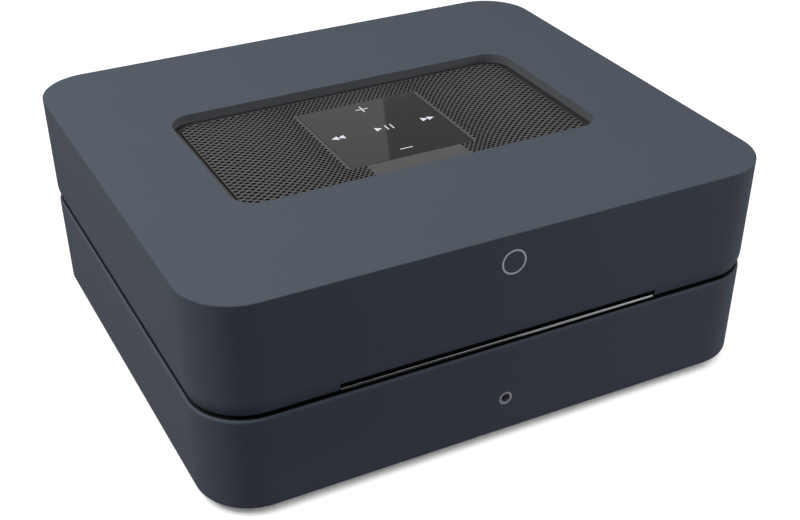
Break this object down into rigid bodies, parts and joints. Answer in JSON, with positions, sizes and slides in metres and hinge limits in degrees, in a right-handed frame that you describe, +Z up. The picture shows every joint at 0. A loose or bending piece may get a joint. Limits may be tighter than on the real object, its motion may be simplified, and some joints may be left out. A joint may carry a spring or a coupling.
{
  "type": "network music streamer",
  "caption": "Flat home audio streamer with rounded corners, a dark seam with a disc slot, a perforated top grille around a touch panel, and sockets at the back",
  "frame": {"origin": "on the floor under the middle of the casing", "axes": "+X to the right seen from the front, +Y to the back, +Z up; the front with the disc slot faces -Y"},
  "size_m": [0.22, 0.193, 0.085],
  "materials": {
    "casing": "satin blue-grey coat",
    "dark_frame": "dark, slightly glossy",
    "grille": "fine matt grey coat",
    "screen": "smooth grey, half gloss",
    "marks": "printed light grey",
    "light": "milky grey",
    "trim": "glossy near-black",
    "felt": "black felt",
    "rubber": "matt black",
    "steel": "zinc-plated sheet",
    "screws": "plated",
    "shafts": "ground steel",
    "diecast": "cast, matt",
    "mirror_disc": "polished",
    "board": "green lacquer",
    "chips": "black epoxy",
    "black_plastic": "moulded black",
    "white_plastic": "moulded white",
    "gold": "gold plated",
    "tin": "tinned shell",
    "sink": "black anodised",
    "lens": "clear",
    "cable": "grey sheath"
  },
  "bodies": {
    "body": {"lower_shell": "casing", "upper_shell": "casing", "seam_frame": "dark_frame", "case_screws": "screws", "rubber_feet": "rubber", "slot_trim": "trim", "slot_curtain": "felt", "grille_frame": "dark_frame", "top_grille": "grille", "touch_panel": "screen", "touch_icons": "marks", "touch_tray": "black_plastic", "panel_boards": "board", "light_ring": "light", "headphone_ring": "light", "headphone_jack": "black_plastic", "headphone_contacts": "gold", "chassis_plate": "steel", "board_standoffs": "gold", "board_screws": "screws", "drive_tray": "steel", "drive_cover": "steel", "roller_bearings": "white_plastic", "loading_motor": "tin", "drive_belt": "rubber", "disk_base": "diecast", "disk_cover": "steel", "disk_board": "board", "disk_grommets": "rubber", "main_board": "board", "main_chips": "chips", "heat_sink": "sink", "ethernet_socket": "tin", "usb_socket": "tin", "optical_socket": "black_plastic", "phono_shells": "gold", "phono_centres": "white_plastic", "mini_jacks": "black_plastic", "rear_tub": "dark_frame", "rear_panel": "dark_frame", "mains_inlet": "black_plastic", "power_board": "board", "power_parts": "chips", "inner_cables": "cable"},
    "roller": {"roller_shaft": "shafts", "loading_roller": "rubber"},
    "motor_pulley": {"motor_pulley": "white_plastic"},
    "traverse": {"traverse_frame": "diecast", "spindle_motor": "tin", "guide_rods": "shafts", "sled_motor": "tin"},
    "turntable": {"turntable": "black_plastic"},
    "sled": {"pickup_sled": "diecast", "pickup_lens": "lens"},
    "lead_screw": {"lead_screw": "shafts"},
    "platters": {"disk_platters": "mirror_disc", "disk_hub": "shafts"},
    "actuator": {"disk_actuator": "diecast"},
    "shutter": {"optical_shutter": "black_plastic"},
    "button": {"service_button": "black_plastic"}
  },
  "joints": [
    {"name": "roller_spin", "type": "hinge", "parent": "body", "child": "roller", "pos_m": [-0.0015, -0.0847, 0.04175], "axis": [1, 0, 0], "continuous": true},
    {"name": "motor_pulley_spin", "type": "hinge", "parent": "body", "child": "motor_pulley", "pos_m": [0.0571, -0.0687, 0.04095], "axis": [1, 0, 0], "continuous": true},
    {"name": "traverse_tilt", "type": "hinge", "parent": "body", "child": "traverse", "pos_m": [-0.0015, 0.031, 0.0409], "axis": [-1, 0, 0], "range_deg": [0, 2.3]},
    {"name": "turntable_spin", "type": "hinge", "parent": "traverse", "child": "turntable", "pos_m": [-0.0015, -0.0291, 0.0424], "axis": [0, 0, 1], "continuous": true},
    {"name": "sled_slide", "type": "slide", "parent": "traverse", "child": "sled", "axis": [0, 1, 0], "range_m": [0, 0.035]},
    {"name": "lead_screw_spin", "type": "hinge", "parent": "traverse", "child": "lead_screw", "pos_m": [0.0185, 0.0074, 0.0409], "axis": [0, -1, 0], "range_deg": [0, 4201]},
    {"name": "platter_spin", "type": "hinge", "parent": "body", "child": "platters", "pos_m": [-0.044, 0.0226, 0.022], "axis": [0, 0, 1], "continuous": true},
    {"name": "actuator_swing", "type": "hinge", "parent": "body", "child": "actuator", "pos_m": [-0.014, -0.025, 0.022], "axis": [0, 0, -1], "range_deg": [0, 33]},
    {"name": "shutter_hinge", "type": "hinge", "parent": "body", "child": "shutter", "pos_m": [-0.024, 0.0867, 0.0645], "axis": [-1, 0, 0], "range_deg": [0, 80], "stiffness_Nm_per_rad": 0.0005, "springref_deg": -20.05},
    {"name": "button_press", "type": "slide", "parent": "body", "child": "button", "axis": [0, -1, 0], "range_m": [0, 0.0008], "stiffness_N_per_m": 300, "springref_m": -0.002}
  ],
  "couplings": [
    {"joint": "motor_pulley_spin", "follows": "roller_spin", "ratio": 1.3182},
    {"joint": "lead_screw_spin", "follows": "sled_slide", "rad_per_m": 2094.4}
  ]
}
